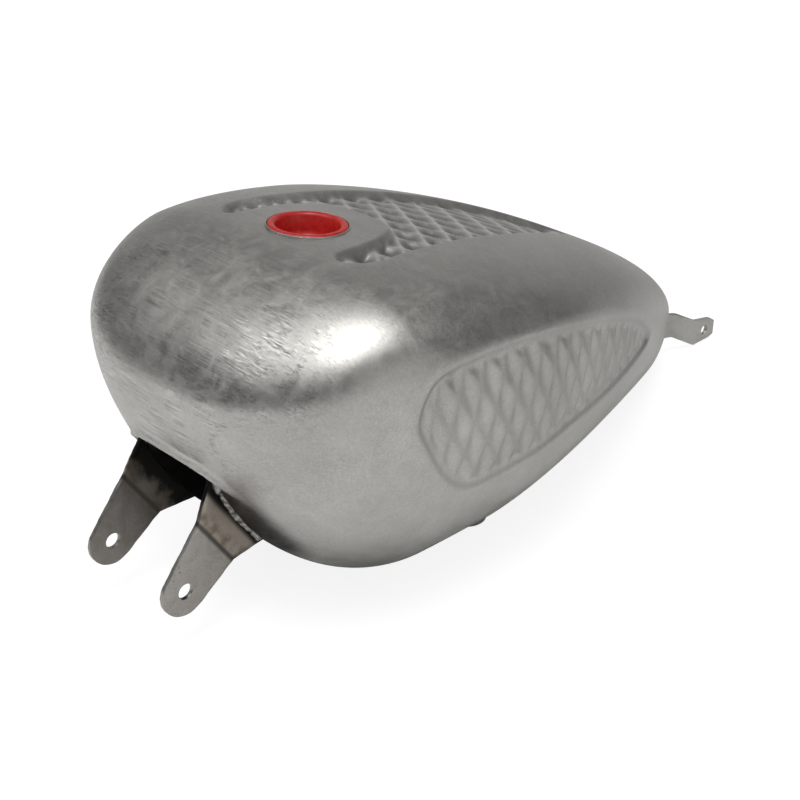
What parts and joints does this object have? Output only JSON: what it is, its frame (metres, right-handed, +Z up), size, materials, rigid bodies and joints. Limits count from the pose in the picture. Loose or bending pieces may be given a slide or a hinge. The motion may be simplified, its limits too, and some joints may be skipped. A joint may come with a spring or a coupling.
{
  "type": "motorcycle fuel tank",
  "caption": "Bare-steel teardrop fuel tank shell with a frame tunnel, front ears, a rear tab, a flush filler neck and shipping plugs",
  "frame": {"origin": "on the centre plane, at the level that the two lobes rest on, midway between the front of the ears and the end of the rear tab", "axes": "+X is the tank's left side, +Y runs from nose to tail, +Z is up"},
  "size_m": [0.2878, 0.615, 0.2333],
  "materials": {
    "bare_steel": "raw mild steel, satin, scratched and lightly stained",
    "weld_metal": "uncleaned weld bead with heat tint",
    "red_plastic": "moulded polyethylene, soft sheen",
    "black_rubber": "matt moulded rubber"
  },
  "bodies": {
    "tank": {"left_shell": "bare_steel", "right_shell": "bare_steel", "tunnel": "bare_steel", "mouth_weld": "weld_metal", "front_ear_left": "bare_steel", "front_ear_right": "bare_steel", "ear_weld_left": "weld_metal", "ear_weld_right": "weld_metal", "filler_neck": "bare_steel", "filler_weld": "weld_metal", "rear_tab": "bare_steel", "rear_tab_weld": "weld_metal", "centre_weld_front": "weld_metal", "centre_weld_rear": "weld_metal", "tunnel_weld_left": "weld_metal", "tunnel_weld_right": "weld_metal", "slosh_baffle": "bare_steel", "outlet_bung": "bare_steel", "outlet_weld": "weld_metal", "vent_tube": "bare_steel", "vent_weld": "weld_metal"},
    "filler_plug": {"filler_plug": "red_plastic"},
    "outlet_plug": {"outlet_plug": "red_plastic"},
    "vent_cap": {"vent_cap": "black_rubber"}
  },
  "joints": [
    {"name": "filler_plug_slide", "type": "slide", "parent": "tank", "child": "filler_plug", "axis": [0, 0.0848, 0.9964], "range_m": [0, 0.06]},
    {"name": "outlet_plug_slide", "type": "slide", "parent": "tank", "child": "outlet_plug", "axis": [0, 0, -1], "range_m": [0, 0.03]},
    {"name": "vent_cap_slide", "type": "slide", "parent": "tank", "child": "vent_cap", "axis": [0, 0, -1], "range_m": [0, 0.02]}
  ]
}
